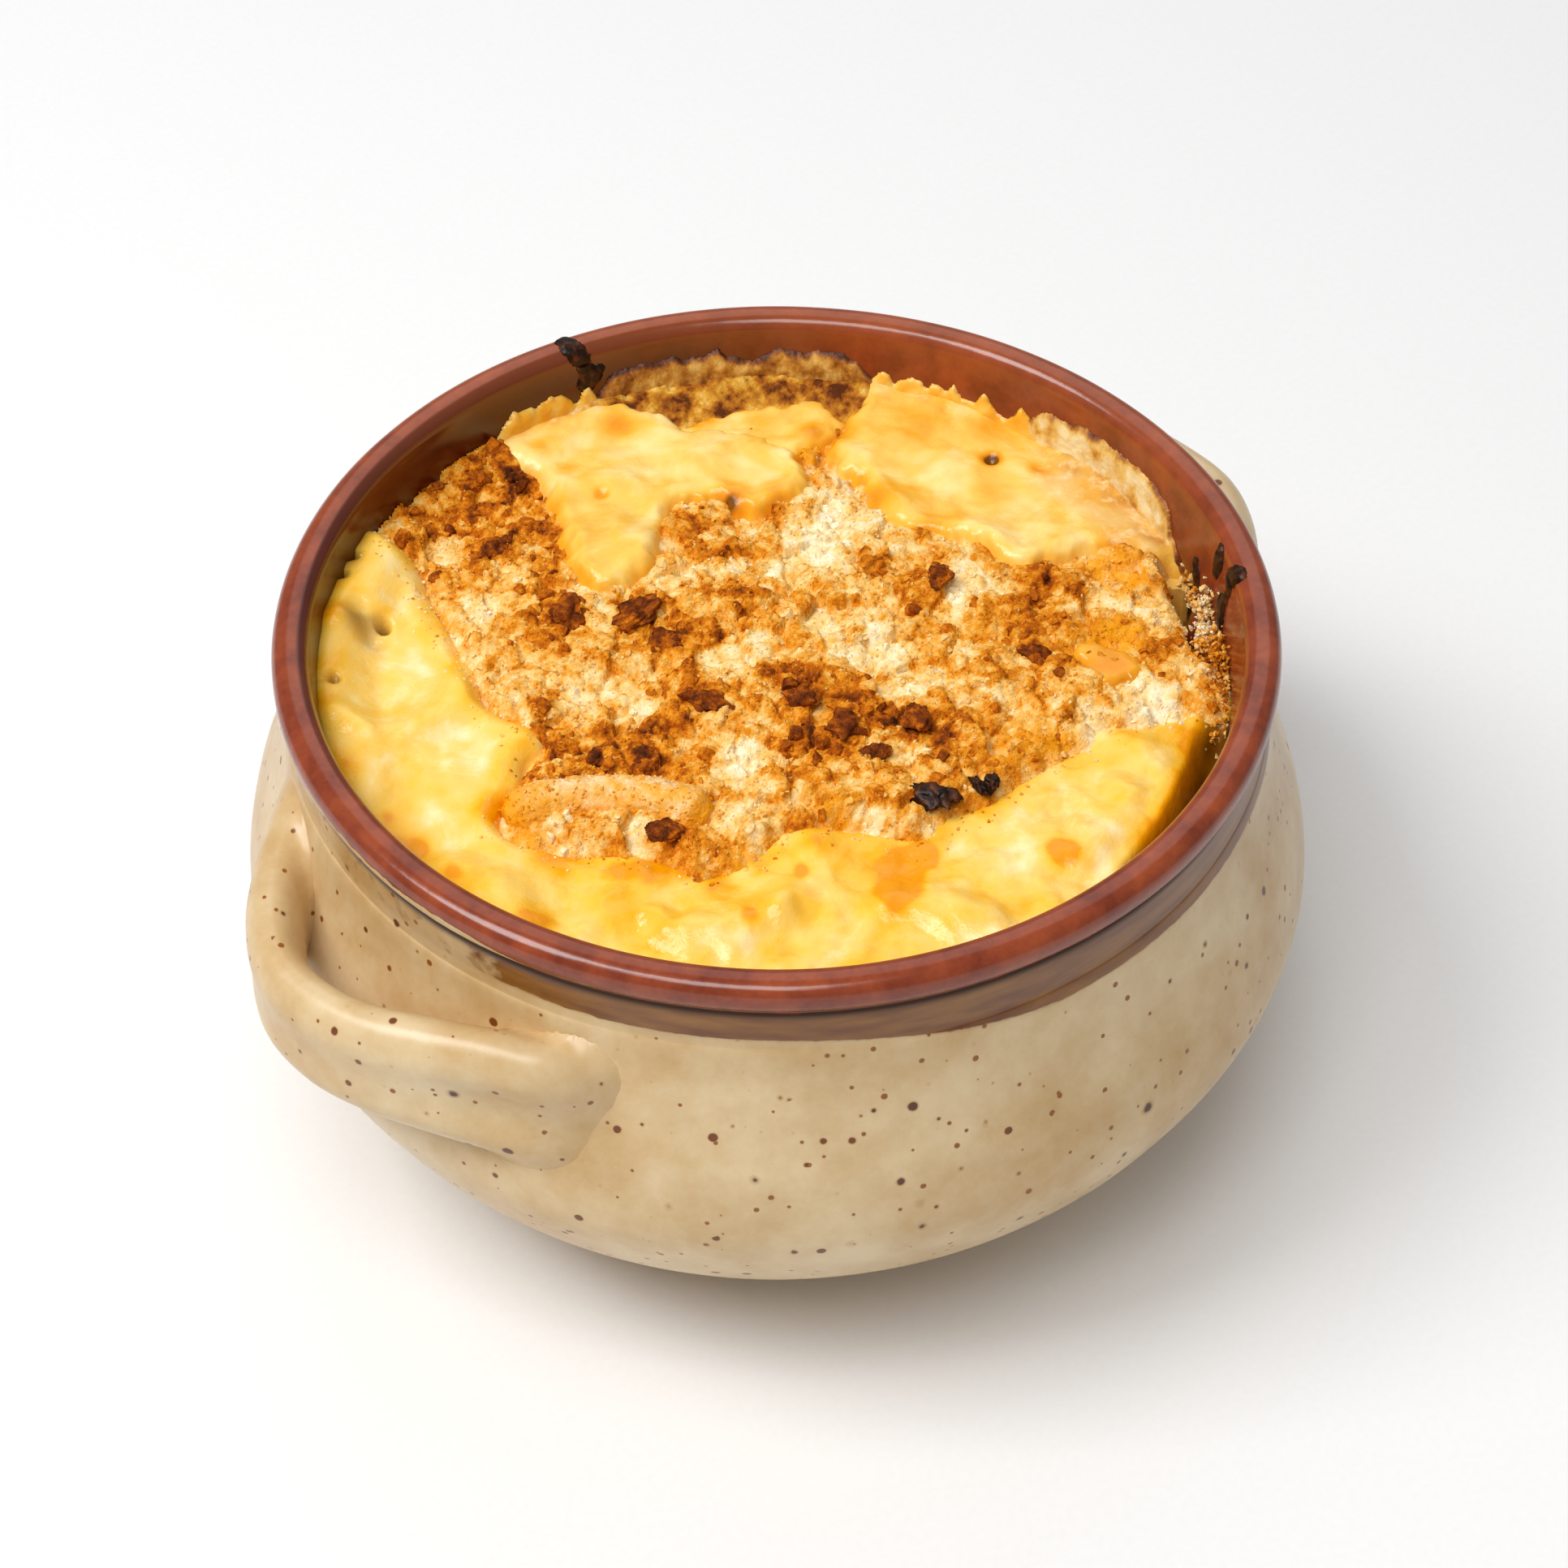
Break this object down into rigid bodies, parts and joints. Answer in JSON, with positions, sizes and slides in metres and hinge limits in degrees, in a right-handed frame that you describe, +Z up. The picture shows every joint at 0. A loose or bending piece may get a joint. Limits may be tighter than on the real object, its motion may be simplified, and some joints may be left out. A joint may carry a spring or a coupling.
{
  "type": "baked mac and cheese in a stoneware crock",
  "caption": "Baked macaroni and cheese under toasted breadcrumbs and melted cheese, in its round two-handled speckled stoneware crock.",
  "frame": {"origin": "centre of the foot, on the surface the crock stands on", "axes": "+Z up, the two handles on the X axis, the side it is pictured from between -X and -Y"},
  "size_m": [0.1528, 0.1368, 0.0748],
  "materials": {
    "stoneware": "satin stoneware glaze with brown specks, red-brown glaze on the rim",
    "cheese_sauce": "baked cheese and macaroni, semi-gloss",
    "toasted_breadcrumbs": "dry toasted crumbs, rough",
    "melted_cheese": "melted cheese, semi-gloss"
  },
  "bodies": {
    "root": {"crock": "stoneware", "mac_and_cheese": "cheese_sauce", "crumb_crust": "toasted_breadcrumbs", "cheese_melt_left": "melted_cheese", "cheese_melt_right": "melted_cheese"}
  },
  "joints": []
}
